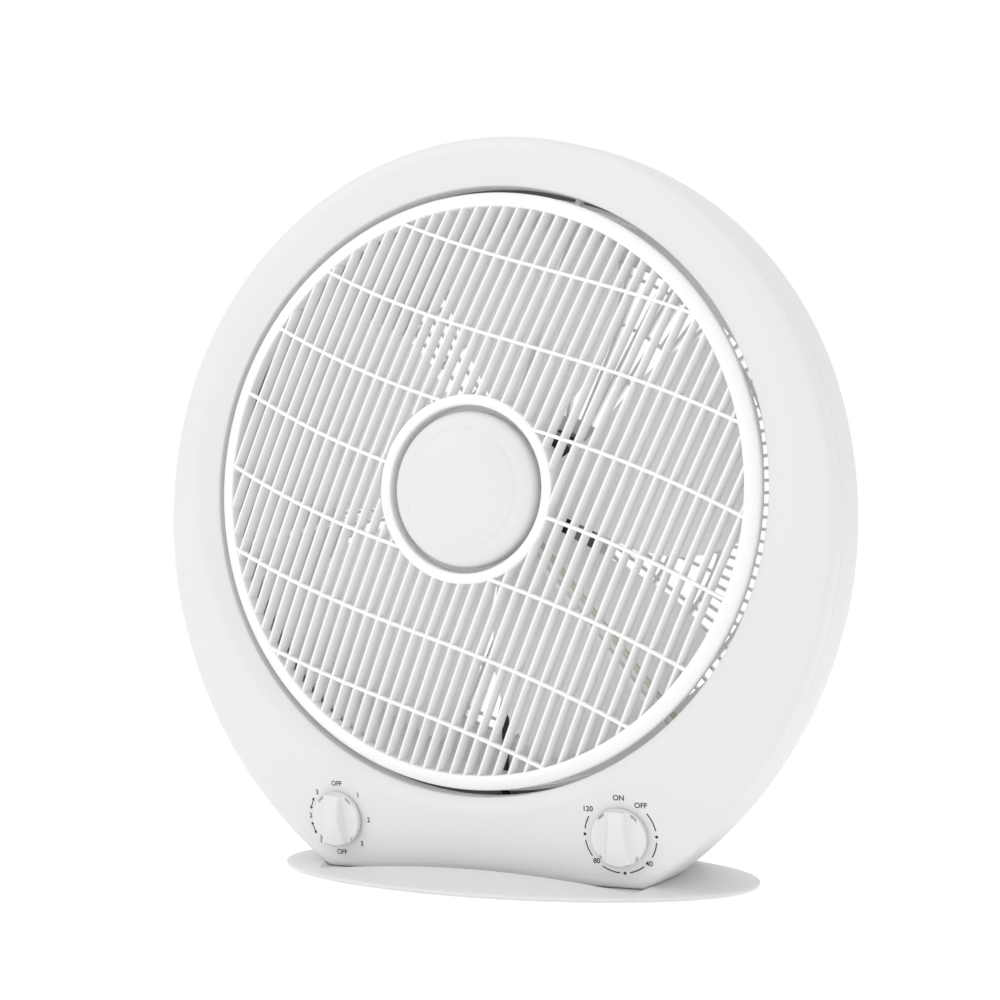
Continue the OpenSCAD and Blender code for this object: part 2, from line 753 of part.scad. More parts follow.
// Motor end covers: shallow cups with vents and a bearing seat
module motor_cup(z0, z1, seat_z) {
    low = min(z0, z1);
    tall = abs(z1 - z0);
    floor_z = z0 > z1 ? z0 - 2.5 : z0;
    difference() {
        union() {
            difference() {
                translate([0, 0, low]) cylinder(h = tall, r = motor_r);
                translate([0, 0, z0 > z1 ? low - eps : low + 2.5]) cylinder(h = tall - 2.5 + eps, r = motor_r - 2.5);
            }
            translate([0, 0, seat_z]) cylinder(h = 7.5, r = 11);
        }
        translate([0, 0, seat_z - 10]) cylinder(h = 30, r = 8);
        at_ring([for (i = [0 : 11]) 30 * i + 15], 27) translate([0, 0, floor_z - 1]) cylinder(h = 5, r = 4.2);
        at_ring([0, 90, 180, 270], 39.5) translate([0, 0, floor_z - 1]) cylinder(h = 5, r = 2.05);
    }
}

module motor_front_cover() {
    color("dimgray") fan_frame() motor_cup(motor_front, stack_front - 4, motor_front - 7.5);
}

module motor_rear_cover() {
    color("dimgray") fan_frame() {
        difference() {
            union() {
                motor_cup(guard_front, stack_back + 4, guard_front);
                at_ring([45, 135, 225, 315], 38) translate([0, 0, guard_front]) cylinder(h = 8, r = 4.4);
            }
            at_ring([45, 135, 225, 315], 38) translate([0, 0, guard_front - eps]) cylinder(h = 6, r = 1.7);
        }
    }
}

module bearing(z) {
    translate([0, 0, z]) difference() {
        cylinder(h = 7, r = 8);
        translate([0, 0, -1]) cylinder(h = 9, r = shaft_r + 0.05);
    }
}

module front_bearing() {
    color("goldenrod") fan_frame() bearing(motor_front - 7.5);
}

module rear_bearing() {
    color("goldenrod") fan_frame() bearing(guard_front + 0.5);
}

module stator_core() {
    height = stack_front - stack_back;
    color("gray") fan_frame() translate([0, 0, stack_back]) difference() {
        cylinder(h = height, r = motor_r - 2.6);
        translate([0, 0, -1]) cylinder(h = height + 2, r = 22);
        at_ring([0, 90, 180, 270], 39.5) translate([0, 0, -1]) cylinder(h = height + 2, r = 2.05);
        at_ring([for (i = [0 : 15]) 22.5 * i], 28) translate([0, 0, -1]) cylinder(h = height + 2, r = 3.2);
    }
}

// Copper end turns on both faces of the stack
module stator_windings() {
    color("chocolate") fan_frame() {
        for (z = [stack_front + 0.2, stack_back - 6.2])
            translate([0, 0, z]) difference() {
                cylinder(h = 6, r = 34);
                translate([0, 0, -1]) cylinder(h = 8, r = 24);
            }
    }
}

module motor_bolts() {
    color("silver") fan_frame() at_ring([0, 90, 180, 270], 39.5)
        translate([0, 0, motor_front]) rotate([180, 0, 0]) screw(50.5, 1.95, 3.4, 2);
}

module motor_screws() {
    color("silver") fan_frame() at_ring([45, 135, 225, 315], 38)
        translate([0, 0, guard_front - guard_thick]) screw(9, 1.65, 3.6, 2);
}

// Rotary switch behind the left of the panel: body with ears and a neck
module control_body(width, height, depth) {
    back = -10 - depth;
    difference() {
        union() {
            translate([-width / 2, -height / 2, back]) cube([width, height, depth - 2]);
            translate([-23, -5, -12]) cube([46, 10, 2]);
            translate([0, 0, -12.5]) cylinder(h = 6, r = 6);
        }
        translate([0, 0, back + 4]) cylinder(h = depth + 20, r = 3.05);
        post_places() translate([0, 0, -13]) cylinder(h = 4, r = 1.6);
    }
}

module spindle(depth) {
    translate([0, 0, -10 - depth + 4.5]) cylinder(h = depth + 15.5, r = 3);
}

// Knob: flat disc, raised grip bar across it with scooped flanks, pointer groove
module knob() {
    base_z = 1.4;
    disc_z = base_z + 3.4;
    top_z = 15.4;
    bar_half = 9;
    crown_r = 40;
    scoop_r = 25.5;
    scoop_x = 32.6;
    scoop_lean = 12;
    difference() {
        union() {
            translate([0, 0, base_z]) cylinder(h = disc_z - base_z, r = knob_r - 0.2);
            intersection() {
                translate([0, 0, base_z]) cylinder(h = top_z - base_z, r1 = knob_r, r2 = knob_r - 1.4);
                difference() {
                    translate([-bar_half, -20, disc_z - 0.4]) cube([2 * bar_half, 40, top_z - disc_z + 0.4]);
                    for (s = [-1, 1]) translate([s * scoop_x, 0, disc_z])
                        rotate([0, -s * scoop_lean, 0]) cylinder(h = 20, r = scoop_r);
                }
                translate([0, 0, top_z - crown_r]) rotate([90, 0, 0]) cylinder(h = 60, r = crown_r, center = true);
            }
        }
        translate([0, 0, base_z - eps]) cylinder(h = 9, r = 3.02);
        translate([-0.5, 6, top_z - 0.9]) cube([1, 12, 2]);
    }
}

module speed_switch() {
    color("tan") at_control(-1) control_body(30, 34, 15);
}

module speed_switch_spindle() {
    color("silver") at_control(-1) spindle(15);
}

module speed_knob() {
    color("white") at_control(-1) knob();
}

module timer() {
    color("tan") at_control(1) control_body(32, 36, 24);
}

module timer_spindle() {
    color("silver") at_control(1) spindle(24);
}

module timer_knob() {
    color("white") at_control(1) knob();
}

module control_screws() {
    color("silver") for (s = [-1, 1]) at_control(s) post_places() translate([0, 0, -12]) screw(8, 1.35, 2.6, 1.6);
}

module run_capacitor() {
    ear_thick = 2;
    color("dimgray") fan_frame() {
        translate([-22, floor_y, capacitor_z - 10]) cube([44, 28, 20]);
        difference() {
            translate([-34, capacitor_ear[1], capacitor_z - 6]) cube([13, ear_thick, 12]);
            translate([capacitor_ear[0], capacitor_ear[1] - 1, capacitor_z])
                rotate([-90, 0, 0]) cylinder(h = 4, r = 1.8);
        }
    }
}

module capacitor_screw() {
    color("silver") fan_frame() translate([capacitor_ear[0], capacitor_ear[1] + 2, capacitor_z])
        rotate([90, 0, 0]) screw(8, 1.35, 3.4, 1.8);
}

module terminal_block() {
    ways = 4;
    pitch = 10;
    color("ivory") fan_frame() translate([block_x, floor_y, block_z]) difference() {
        cube([ways * pitch, 14, 18]);
        for (i = [0 : ways - 1]) translate([(i + 0.5) * pitch, 9, 9]) rotate([-90, 0, 0]) cylinder(h = 6, r = 3);
        for (i = [0 : ways - 1]) translate([(i + 0.5) * pitch, 5, -1]) cylinder(h = 20, r = 2);
    }
}

// Round cable through a list of points, with a slightly larger ball at each bend
module cable(path, r) {
    for (i = [0 : len(path) - 2]) {
        step = path[i + 1] - path[i];
        tilt = acos(step[2] / norm(step));
        turn = atan2(step[1], step[0]);
        translate(path[i]) rotate([0, tilt, turn]) cylinder(h = norm(step), r = r, $fn = 24);
    }
    for (i = [1 : len(path) - 2]) translate(path[i]) sphere(r = r + 0.3, $fn = 24);
}

// Lead from the motor down through the duct wall to the terminal block
module motor_lead() {
    block_side = [block_x + 0.6, floor_y + 9, block_z + 9];
    duct_side = [lead_x, -200, lead_z];
    color("black") fan_frame() cable([
        [lead_x, -33.5, lead_z],
        duct_side,
        block_side
    ], 2.4);
}

// Lead of the grille motor, clipped beside one spoke of the spider
module grille_motor_lead() {
    side = 6;
    color("ivory") fan_frame() rotate(spider_angles[2])
        cable([[27.5, side, spider_z], [204, side, spider_z]], 1.8);
}

// Bush in the rear wall where a mains cord would enter
module cord_gland() {
    color("dimgray") fan_frame() translate([gland_at[0], gland_at[1], -body_depth]) difference() {
        union() {
            translate([0, 0, -5]) cylinder(h = 5, r1 = 6.5, r2 = 8);
            translate([0, 0, -1]) cylinder(h = 3.6, r = 6);
            translate([0, 0, wall + 0.05]) cylinder(h = 3, r = 7.4);
        }
        translate([0, 0, -8]) cylinder(h = 20, r = 3.6);
    }
}

front_shell();
rear_shell();
air_duct();
rear_guard();
foot_plate();
rubber_feet();
foot_screws();
shell_screws();
guard_screws();
grille_spider();
spider_screws();
grille_motor();
grille_motor_shaft();
grille_motor_screws();
rotary_grille();
centre_cap();
grille_screw();
impeller();
spinner_nut();
motor_shaft();
drive_pin();
rotor_core();
motor_front_cover();
front_bearing();
stator_core();
stator_windings();
motor_rear_cover();
rear_bearing();
motor_bolts();
motor_screws();
speed_switch();
speed_switch_spindle();
speed_knob();
timer();
timer_spindle();
timer_knob();
control_screws();
run_capacitor();
capacitor_screw();
terminal_block();
motor_lead();
grille_motor_lead();
cord_gland();
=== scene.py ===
"""Looks of the box fan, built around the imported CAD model."""
import math

import bmesh
import bpy
from mathutils import Matrix, Vector
from mathutils.bvhtree import BVHTree
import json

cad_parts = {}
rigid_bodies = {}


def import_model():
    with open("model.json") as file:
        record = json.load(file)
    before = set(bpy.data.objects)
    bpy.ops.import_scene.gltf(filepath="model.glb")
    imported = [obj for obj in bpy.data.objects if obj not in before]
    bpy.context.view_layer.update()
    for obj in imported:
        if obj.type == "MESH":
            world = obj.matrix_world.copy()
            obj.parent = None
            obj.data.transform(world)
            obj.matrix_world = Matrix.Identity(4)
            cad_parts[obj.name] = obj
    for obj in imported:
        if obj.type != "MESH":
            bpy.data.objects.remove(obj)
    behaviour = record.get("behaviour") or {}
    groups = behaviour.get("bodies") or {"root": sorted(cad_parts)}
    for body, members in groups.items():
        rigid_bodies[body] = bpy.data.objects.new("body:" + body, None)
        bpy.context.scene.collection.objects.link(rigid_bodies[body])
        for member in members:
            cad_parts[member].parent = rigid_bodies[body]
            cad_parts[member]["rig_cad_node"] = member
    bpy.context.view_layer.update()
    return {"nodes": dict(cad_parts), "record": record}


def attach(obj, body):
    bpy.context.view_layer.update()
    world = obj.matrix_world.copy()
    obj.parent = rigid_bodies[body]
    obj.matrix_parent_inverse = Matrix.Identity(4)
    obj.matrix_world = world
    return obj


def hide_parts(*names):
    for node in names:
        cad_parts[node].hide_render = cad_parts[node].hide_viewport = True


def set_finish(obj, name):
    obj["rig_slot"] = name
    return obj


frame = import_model()

MM = 0.001
WHITE = (0.69, 0.69, 0.69)

# ---------------------------------------------------------------- sizes, in mm, as in the CAD source
AXIS_HEIGHT = 245.0
OPENING_OFFSET = 59.0
OPENING_R = 190.0
RIDGE_R = 205.8
RIDGE_LIFT = 7.8
RIDGE_RISE = 4.6
OUTLINE_R = 227.4
OUTLINE_DROP = 6.3
FLANK_R = 267.0
FLANK_ANGLE = math.radians(16)
BODY_BOTTOM = 240.5
BODY_DEPTH = 118.0
SEAM_DEPTH = 14.0
BULGE = 3.57  # a hair under the CAD value, so that the smoother skin stays inside its box
REAR_END_R = 197.5
WIDEST_DEPTH = 38.0
WALL = 2.5
LIP_DEPTH = 13.0
GUARD_R = 165.0
FACE_SLOPE = 0.17
RIM_OUTER_R = 186.0
RIM_INNER_R = 176.5
HUB_RING_R = 58.7
HUB_WELL_R = 52.0
CROWN = 14.5
RIM_FRONT = 4.6
SLAT_PITCH = 9.03
SLAT_LEAN = math.radians(24)
SLAT_TILT = math.radians(10)
SLAT_DEPTH = 8.5
SLAT_THICK = 1.5
RIB_PITCH = 47.9
RIB_SWEEP = 8.0
CAP_R = 48.5
KNOB_X = 97.0
KNOB_DROP = 208.6
KNOB_YAW = math.radians(3)
KNOB_PITCH = math.radians(6.5)
FOOT_LENGTH = 324.0
FOOT_WIDTH = 196.0
FOOT_HEIGHT = 21.5
FOOT_LIFT = 1.2


# ---------------------------------------------------------------- frames and mesh helpers
def world(x, y, z):
    """A point of the fan frame (mm, z forward out of the fan) in the world, in metres."""
    return Vector((x, -OPENING_OFFSET - z, AXIS_HEIGHT + y)) * MM


def piece(name, points, faces, body, slot, sharp=35):
    """Mesh object from world points, shaded smooth up to the given edge angle."""
    mesh = bpy.data.meshes.new(name)
    mesh.from_pydata([tuple(p) for p in points], [], faces)
    obj = bpy.data.objects.new(name, mesh)
    bpy.context.scene.collection.objects.link(obj)
    tidy_mesh(mesh, sharp)
    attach(obj, body)
    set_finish(obj, slot)
    return obj


def tidy_mesh(mesh, sharp):
    bm = bmesh.new()
    bm.from_mesh(mesh)
    bmesh.ops.remove_doubles(bm, verts=bm.verts, dist=2e-6)
    bmesh.ops.recalc_face_normals(bm, faces=bm.faces)
    bm.to_mesh(mesh)
    bm.free()
    mesh.shade_smooth()
    mesh.set_sharp_from_angle(angle=math.radians(sharp))


class Build:
    """Collects grids, revolved shapes and tubes in the fan frame, then makes one piece of them."""

    def __init__(self):
        self.points = []
        self.faces = []

    def grid(self, rows, close_rows=False, close_cols=False):
        """Quads between neighbouring rows of points. Rows and columns may close on themselves."""
        start = len(self.points)
        n, m = len(rows), len(rows[0])
        for row in rows:
            self.points.extend(world(*p) for p in row)
        for i in range(n if close_rows else n - 1):
            for j in range(m if close_cols else m - 1):
                i2, j2 = (i + 1) % n, (j + 1) % m
                row, row2 = start + i * m, start + i2 * m
                self.faces.append((row + j, row2 + j, row2 + j2, row + j2))
        return start

    def cap(self, indices):
        self.faces.append(tuple(indices))

    def solid_strip(self, rows):
        """Closed bar: each row is one closed cross-section."""
        start = self.grid(rows, close_cols=True)
        m = len(rows[0])
        self.cap(range(start, start + m))
        last = start + (len(rows) - 1) * m
        self.cap(reversed(range(last, last + m)))

    def revolve(self, profile, steps, centre=(0.0, 0.0), closed=True):
        """Ring around a line along the fan axis. Profile points are (radius, z)."""
        rows = []
        for i in range(steps):
            a = 2 * math.pi * i / steps
            rows.append([(centre[0] + r * math.cos(a), centre[1] + r * math.sin(a), z) for r, z in profile])
        self.grid(rows, close_rows=True, close_cols=closed)

    def tube(self, centre, z0, z1, r, hole=0.0, steps=40):
        """Cylinder with an optional through hole, along the fan axis."""
        inner = max(hole, 0.0)
        self.revolve([(inner, z0), (r, z0), (r, z1), (inner, z1)], steps, centre)

    def finish(self, name, body, slot, sharp=35):
        return piece(name, self.points, self.faces, body, slot, sharp)


def rounded(points, cuts, steps=5):
    """Rounds the corners of an open polyline: cuts gives how far from each corner the curve starts."""
    out = []
    for i, p in enumerate(points):
        cut = cuts[i]
        if cut <= 0 or i in (0, len(points) - 1):
            out.append(p)
            continue
        p = Vector(p)
        a = Vector(points[i - 1]) - p
        b = Vector(points[i + 1]) - p
        start = p + a.normalized() * min(cut, a.length * 0.49)
        end = p + b.normalized() * min(cut, b.length * 0.49)
        for k in range(steps + 1):
            u = k / steps
            q = start * (1 - u) ** 2 + p * 2 * u * (1 - u) + end * u * u
            out.append(tuple(q))
    return out


def smooth_curve(points, steps):
    """Catmull-Rom curve through a list of 2-D points."""
    out = []
    for i in range(len(points) - 1):
        p1, p2 = Vector(points[i]), Vector(points[i + 1])
        p0 = Vector(points[i - 1]) if i else p1 * 2 - p2
        p3 = Vector(points[i + 2]) if i + 2 < len(points) else p2 * 2 - p1
        for k in range(steps):
            u = k / steps
            q = (p1 * 2 + (p2 - p0) * u + (p0 * 2 - p1 * 5 + p2 * 4 - p3) * u * u
                 + (p1 * 3 - p0 - p2 * 3 + p3) * u ** 3) * 0.5
            out.append(tuple(q))
    out.append(tuple(points[-1]))
    return out


# ---------------------------------------------------------------- outline of the body
TANGENT = Vector((math.cos(FLANK_ANGLE), math.sin(FLANK_ANGLE)))
FLANK_CENTRE = -(FLANK_R - OUTLINE_R) * TANGENT + Vector((0, -OUTLINE_DROP))
CORNER_ANGLE = math.atan2(
    -BODY_BOTTOM, math.sqrt(FLANK_R ** 2 - (BODY_BOTTOM + FLANK_CENTRE.y) ** 2) + FLANK_CENTRE.x)


def circle_reach(t, cx, cy, r):
    b = cx * math.cos(t) + cy * math.sin(t)
    return b + math.sqrt(b * b - cx * cx - cy * cy + r * r)


def climb(t):
    """Angle above the horizontal, the same on both sides."""
    return math.asin(max(-1.0, min(1.0, math.sin(t))))


def wall_reach(t, grow):
    """Distance from the fan axis to the side wall, grown, as if the underside weren't cut flat."""
    side = 1 if math.cos(t) >= 0 else -1
    tangent = Vector((0, -OUTLINE_DROP)) + (OUTLINE_R + grow) * TANGENT
    if climb(t) > math.atan2(tangent.y, tangent.x):
        return circle_reach(t, 0, -OUTLINE_DROP, OUTLINE_R + grow)
    return circle_reach(t, side * FLANK_CENTRE.x, FLANK_CENTRE.y, FLANK_R + grow)


def over_underside(t, reach, lift):
    """Cuts a distance off at the flat underside, with a small radius at the corner."""
    if math.sin(t) >= -0.1:
        return reach
    flat = (BODY_BOTTOM - lift) / -math.sin(t)
    blend = 1.2
    h = max(0.0, min(1.0, 0.5 + 0.5 * (reach - flat) / blend))
    return reach * (1 - h) + flat * h - blend * h * (1 - h) * 0.5


def outline_reach(t, grow, lift):
    return over_underside(t, wall_reach(t, grow), lift)


def low_share(t):
    """How far the lower flanks keep their width towards the back, from 0 to 1."""
    u = min(1.0, max(0.0, (-math.degrees(climb(t)) - 10) / 50))
    return u * u * (3 - 2 * u)


def skin_reach(t, z, grow=0.0):
    """Distance to the rear shell's skin at depth z: it bulges, then tapers to the rear guard."""
    swell = BULGE * (1 - 0.5 * low_share(t))
    if z > -WIDEST_DEPTH:
        near = (-z - SEAM_DEPTH) / (WIDEST_DEPTH - SEAM_DEPTH)
        return wall_reach(t, grow + 0.8 + (swell - 0.8) * math.sin(math.pi / 2 * near))
    end = REAR_END_R + grow + (wall_reach(t, grow) - REAR_END_R - grow) * 0.85 * low_share(t)
    far = (-z - WIDEST_DEPTH) / (BODY_DEPTH - WIDEST_DEPTH)
    widest = wall_reach(t, swell + grow)
    return widest + (end - widest) * far ** 1.12


def back_lift(z):
    """Lift of the underside at depth z, where the back edge is rounded."""
    return max(0.0, -z - 98) * 0.1 + max(0.0, -z - 113) * 0.7


def skin_point(t, z, grow=0.0, raised=0.0):
    return (over_underside(t, skin_reach(t, z, grow), back_lift(z) + raised), z)


def ridge_reach(t):
    return circle_reach(t, 0, RIDGE_LIFT, RIDGE_R)


def body_angles():
    """Angles round the body, closer together near the two bottom corners."""
    out = []
    for a0, a1, n, pull in ((CORNER_ANGLE, math.pi - CORNER_ANGLE, 320, 0.1),
                            (math.pi - CORNER_ANGLE, 2 * math.pi + CORNER_ANGLE, 90, 0.12)):
        for i in range(n):
            u = i / n
            out.append(a0 + (a1 - a0) * (u - pull * math.sin(2 * math.pi * u)))
    return out


ANGLES = body_angles()


def swept(profile_at):
    rows = []
    for t in ANGLES:
        rows.append([(r * math.cos(t), r * math.sin(t), z) for r, z in profile_at(t)])
    return rows


def temp_object(name, build):
    """A helper object for cutting, removed after use."""
    mesh = bpy.data.meshes.new(name)
    mesh.from_pydata([tuple(p) for p in build.points], [], build.faces)
    obj = bpy.data.objects.new(name, mesh)
    bpy.context.scene.collection.objects.link(obj)
    tidy_mesh(mesh, 180)
    return obj


def cut(obj, build, sharp=35):
    """Subtracts the shapes in build from obj."""
    cutter = temp_object("cutter", build)
    boolean = obj.modifiers.new("cut", "BOOLEAN")
    boolean.operation = "DIFFERENCE"
    boolean.solver = "EXACT"
    boolean.use_self = True
    boolean.object = cutter
    depsgraph = bpy.context.evaluated_depsgraph_get()
    mesh = bpy.data.meshes.new_from_object(obj.evaluated_get(depsgraph))
    obj.modifiers.clear()
    old = obj.data
    obj.data = mesh
    bpy.data.meshes.remove(old)
    bpy.data.objects.remove(cutter)
    mesh.shade_smooth()
    mesh.set_sharp_from_angle(angle=math.radians(sharp))


def polar(r, degrees):
    a = math.radians(degrees)
    return (r * math.cos(a), r * math.sin(a))


# ---------------------------------------------------------------- shells
BOSS_CIRCLE = 208.0
LOW_BOSSES = [(-42, -222), (42, -222)]
BOSS_PLACES = [polar(BOSS_CIRCLE, a) for a in (18, 60, 120, 162, 205, 335)] + LOW_BOSSES
BOSS_R = 4.6
BOSS_HOLE_R = 1.9
GUARD_PLACES = [polar(GUARD_R + 4.4, a) for a in (30, 150, 210, 330)]
GUARD_HOLE_R = 1.8
SPIDER_CIRCLE = 197.5
SPIDER_PLACES = [polar(SPIDER_CIRCLE, a) for a in (70, 190, 310)]
SEAM_GROOVE = 0.45
WELL_R = 3.8
WELL_HOLE_R = 2.1
POST_FRONT = -31
POST_SHOULDER = -38
GLAND_PLACE = (62, -217)
GLAND_R = 6.05


def front_profile(t):
    ridge = ridge_reach(t)
    edge = outline_reach(t, 0, 0)
    band = edge - ridge
    drop = max(FACE_SLOPE * band, 3)
    low = RIDGE_RISE - drop
    outer = rounded([
        (OPENING_R, -LIP_DEPTH),
        (OPENING_R, 0.0),
        (ridge, RIDGE_RISE),
        (edge - 0.2, low),
        (outline_reach(t, 0.8, 0), -SEAM_DEPTH + SEAM_GROOVE),
        (outline_reach(t, 0.8 - SEAM_GROOVE, 0), -SEAM_DEPTH),
    ], [0, 1.3, 3.0, min(5.5, band * 0.6), 0, 0], 8)
    inner = [
        (outline_reach(t, 0.8 - WALL, WALL), -SEAM_DEPTH),
        (outline_reach(t, -0.4 - WALL, WALL), low - 4),
        (edge - min(band * 0.3, 6) - 1.2, low - WALL + 0.3),
        (ridge, RIDGE_RISE - WALL),
        (OPENING_R + WALL, -2.2),
        (OPENING_R + WALL, -LIP_DEPTH),
    ]
    return outer + inner


def make_front_shell():
    build = Build()
    build.grid(swept(front_profile), close_rows=True, close_cols=True)
    for place in BOSS_PLACES:
        build.tube(place, -30, -3, BOSS_R, BOSS_HOLE_R)
    for place in SPIDER_PLACES:
        build.tube(place, -12, -1, 3.6, 1.4)
    return build.finish("visual_front_shell", "body", "white_plastic")


# Depths at which the rear skin is drawn, closer together where it curves
SKIN_DEPTHS = [
    -14.45, -16, -18, -20.5, -23.5, -27, -31, -35, -39, -44, -50, -57,
    -64, -71, -78, -85, -92, -98, -103, -108, -111.5, -114, -116,
]


def rear_profile(t):
    back = -BODY_DEPTH
    outer = [(skin_point(t, -SEAM_DEPTH)[0] - SEAM_GROOVE, -SEAM_DEPTH)]
    outer += [skin_point(t, z) for z in SKIN_DEPTHS]
    edge = skin_point(t, back)[0]
    outer += rounded([skin_point(t, -116), (edge, back), (GUARD_R + 8, back)], [0, 1.9, 0], 5)[1:]
    inner = rounded([outer[-1], (GUARD_R, back), (GUARD_R, back + WALL)], [0, 0.5, 0], 3)[1:]
    inner += [(skin_point(t, back + WALL, -WALL, WALL)[0], back + WALL)]
    inner += [skin_point(t, z, -WALL, WALL) for z in reversed(SKIN_DEPTHS[1:-2:3])]
    return outer + inner + [skin_point(t, -SEAM_DEPTH, -WALL, WALL)]


def post_end(x, y):
    """Depth at which a line along the fan axis through x, y leaves the rear shell, short of its skin."""
    reach, t = math.hypot(x, y), math.atan2(y, x)
    near, far = -WIDEST_DEPTH, -BODY_DEPTH
    if over_underside(t, skin_reach(t, far), back_lift(far)) - 1.2 > reach:
        return far + 1
    for _ in range(30):
        mid = (near + far) / 2
        if skin_reach(t, mid) - 1.2 > reach:
            near = mid
        else:
            far = mid
    return near


def post_rows(cx, cy):
    """Hollow screw post whose back end follows the tapered skin."""
    rows = []
    for k in range(48):
        a = 2 * math.pi * k / 48
        ring = [
            (WELL_R, None),
            (BOSS_R, None),
            (BOSS_R, POST_FRONT),
            (WELL_HOLE_R, POST_FRONT),
            (WELL_HOLE_R, POST_SHOULDER),
            (WELL_R, POST_SHOULDER),
        ]
        row = []
        for r, z in ring:
            x, y = cx + r * math.cos(a), cy + r * math.sin(a)
            row.append((x, y, post_end(x, y) if z is None else z))
        rows.append(row)
    return rows


def make_rear_shell():
    build = Build()
    build.grid(swept(rear_profile), close_rows=True, close_cols=True)
    obj = build.finish("visual_rear_shell", "body", "white_plastic")
    cuts = Build()
    for place in BOSS_PLACES:
        cuts.tube(place, -BODY_DEPTH - 2, -46, WELL_R)
    for place in GUARD_PLACES:
        cuts.tube(place, -BODY_DEPTH - 2, -BODY_DEPTH + 6, GUARD_HOLE_R)
    cuts.tube(GLAND_PLACE, -BODY_DEPTH - 2, -BODY_DEPTH + 6, GLAND_R)
    cut(obj, cuts)
    posts = Build()
    for x, y in BOSS_PLACES:
        posts.grid(post_rows(x, y), close_rows=True, close_cols=True)
    posts.finish("visual_screw_posts", "body", "white_plastic")
    return obj


# ---------------------------------------------------------------- foot
PAD_PLACES = [(-112, -42), (112, -42), (-112, 42), (112, 42)]
PAD_R = 9.2


def foot_point(u, a, height):
    """Point of the foot in the fan frame: u is the share of the half axes, height above the floor."""
    x = FOOT_LENGTH / 2 * u * math.cos(a)
    y_world = FOOT_WIDTH / 2 * u * math.sin(a)
    return (x, height - AXIS_HEIGHT, -OPENING_OFFSET - y_world)


def make_foot():
    rim = 1.6
    dome = FOOT_HEIGHT - FOOT_LIFT - rim
    steps = 40
    levels = [
        (0.90, 0.0),
        (0.992, 0.0),
        (0.998, 0.25),
        (1.0, 0.8),
        (0.9995, rim - 0.35),
        (0.996, rim + 0.12),
    ]
    for i in range(1, steps + 1):
        u = 0.992 - (0.992 - 0.22) * i / steps
        levels.append((u, rim + dome * (1 - u ** 1.5)))
    build = Build()
    rows = []
    turns = 300
    for u, h in levels:
        rows.append([foot_point(u, 2 * math.pi * k / turns, FOOT_LIFT + h) for k in range(turns)])
    build.solid_strip(rows)
    obj = build.finish("visual_foot", "body", "white_plastic", 50)
    cutter = Build()
    gap = 0.18
    rings = [[(outline_reach(t, g + gap, -gap), z) for t in ANGLES] for g, z in ((-0.5, 6.0), (0.2, 0.0))]
    rings += [[(outline_reach(t, 0.8 + gap, -gap), -13.9) for t in ANGLES]]
    rings += [[skin_point(t, z, gap, -gap) for t in ANGLES] for z in SKIN_DEPTHS[1:] + [-119]]
    rows = [[(r * math.cos(t), r * math.sin(t), z) for t, (r, z) in zip(ANGLES, ring)] for ring in rings]
    cutter.solid_strip(rows)
    cut(obj, cutter, 50)
    holes = Build()
    turn = [2 * math.pi * k / 48 for k in range(48)]
    for x, y_world in PAD_PLACES:
        z = -OPENING_OFFSET - y_world
        rows = []
        for h in (0.0, FOOT_LIFT + 1.2):
            rows.append([(x + PAD_R * math.cos(a), h - AXIS_HEIGHT, z + PAD_R * math.sin(a)) for a in turn])
        holes.solid_strip(rows)
    cut(obj, holes, 50)
    return obj


# ---------------------------------------------------------------- grille
DOME_R = (RIM_INNER_R ** 2 - HUB_RING_R ** 2) / (2 * (CROWN - RIM_FRONT))
DOME_Z = CROWN - math.sqrt(DOME_R ** 2 - HUB_RING_R ** 2)


def dome(p, q):
    return DOME_Z + math.sqrt(DOME_R ** 2 - p * p - q * q)


def lean(p, q):
    """From the slats' own directions (across, along) to the fan frame."""
    c, s = math.cos(SLAT_LEAN), math.sin(SLAT_LEAN)
    return p * c + q * s, -p * s + q * c


def slat_section(p0, q):
    """Closed outline of one slat across its length: rounded front edge, thinner rounded back edge."""
    tilt = math.tan(SLAT_TILT)
    front = dome(p0, q) - 0.25
    half, back_half = SLAT_THICK / 2, SLAT_THICK / 2 - 0.18
    nose = 0.45
    local = []
    for k in range(7):
        a = math.pi * k / 6
        local.append((half * math.cos(a), -nose + nose * math.sin(a)))
    for k in range(5):
        a = math.pi + math.pi * k / 4
        local.append((back_half * math.cos(a), -SLAT_DEPTH + 0.3 + 0.3 * math.sin(a)))
    out = []
    for s, w in local:
        z = front + w
        p = p0 - half - (z - 4) * tilt + s
        out.append((*lean(p, q), z))
    return out


def slat_spans(p):
    """Where a slat runs between rim and rim, or between rim and hub ring."""
    rim = math.sqrt(max((RIM_INNER_R + 1.0) ** 2 - p * p, 0.0))
    if abs(p) >= HUB_RING_R - 0.8:
        return [(-rim, rim)]
    hub = math.sqrt((HUB_RING_R - 0.8) ** 2 - p * p)
    return [(-rim, -hub), (hub, rim)]


def rib_line(u):
    return RIB_SWEEP * math.sin(math.radians(150 * u / OPENING_R))


def rib_runs(k):
    """Stretches of u over which rib k lies between hub ring and rim."""
    runs = []
    current = []
    steps = 740
    for i in range(steps + 1):
        u = -185 + 370 * i / steps
        r = math.hypot(u, k * RIB_PITCH + rib_line(u))
        if HUB_RING_R - 1.0 <= r <= RIM_INNER_R + 1.2:
            current.append(u)
        elif current:
            runs.append(current)
            current = []
    if current:
        runs.append(current)
    return [run for run in runs if len(run) > 8]


